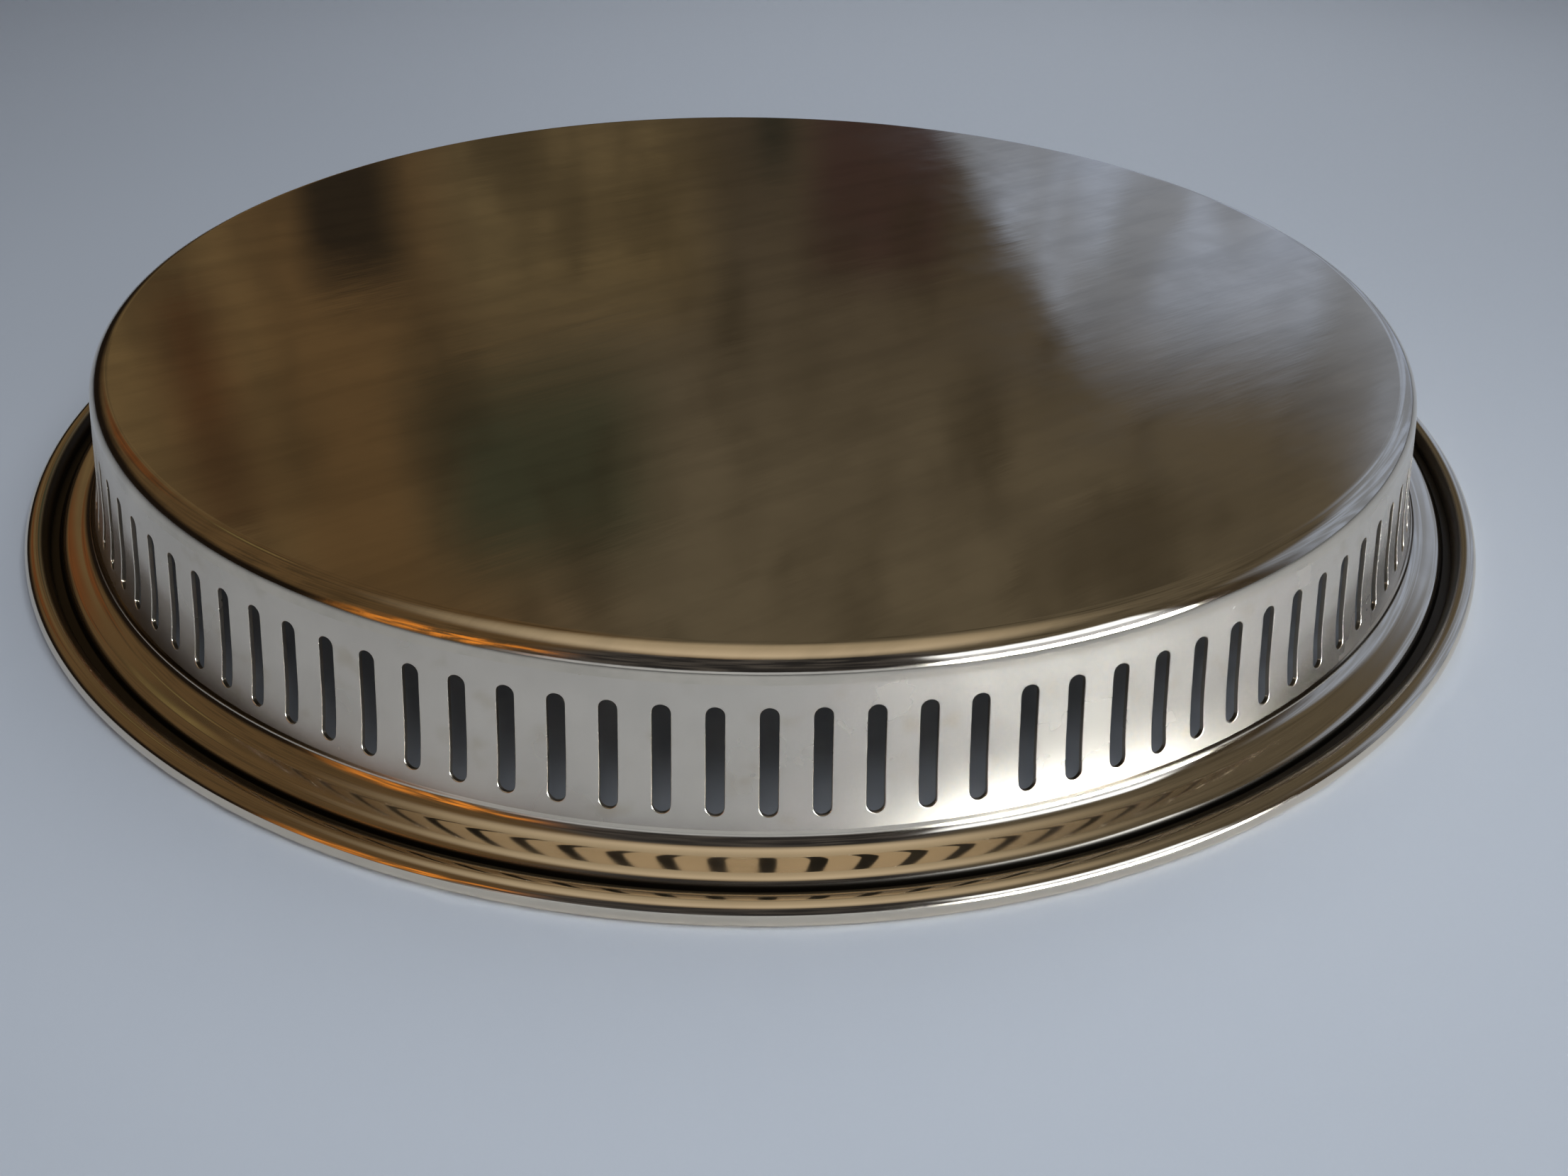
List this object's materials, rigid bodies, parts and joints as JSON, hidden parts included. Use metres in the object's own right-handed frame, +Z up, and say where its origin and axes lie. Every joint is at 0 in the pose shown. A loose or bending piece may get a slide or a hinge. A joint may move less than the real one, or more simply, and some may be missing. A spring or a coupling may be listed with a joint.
{
  "type": "gallery tray",
  "caption": "Round metal serving tray with a low flared wall pierced by upright slots and a sloping rim with a grooved, beaded edge, lying upside down.",
  "frame": {"origin": "on the tray's axis, at the plane that the rim's bead rests on", "axes": "+Z up through the base plate, along the tray's axis, as the tray lies upside down; -Y towards the viewer of the picture, through the centre of one slot"},
  "size_m": [0.3034, 0.3034, 0.0324],
  "materials": {
    "base_metal": "polished silver plate, lightly brushed and worn",
    "wall_metal": "polished silver plate, slightly tarnished",
    "rim_metal": "polished silver plate",
    "core_wire": "plain drawn wire"
  },
  "bodies": {
    "root": {"base_plate": "base_metal", "gallery_wall": "wall_metal", "rim_flange": "rim_metal", "rim_bead": "rim_metal", "edge_wire": "core_wire"}
  },
  "joints": []
}
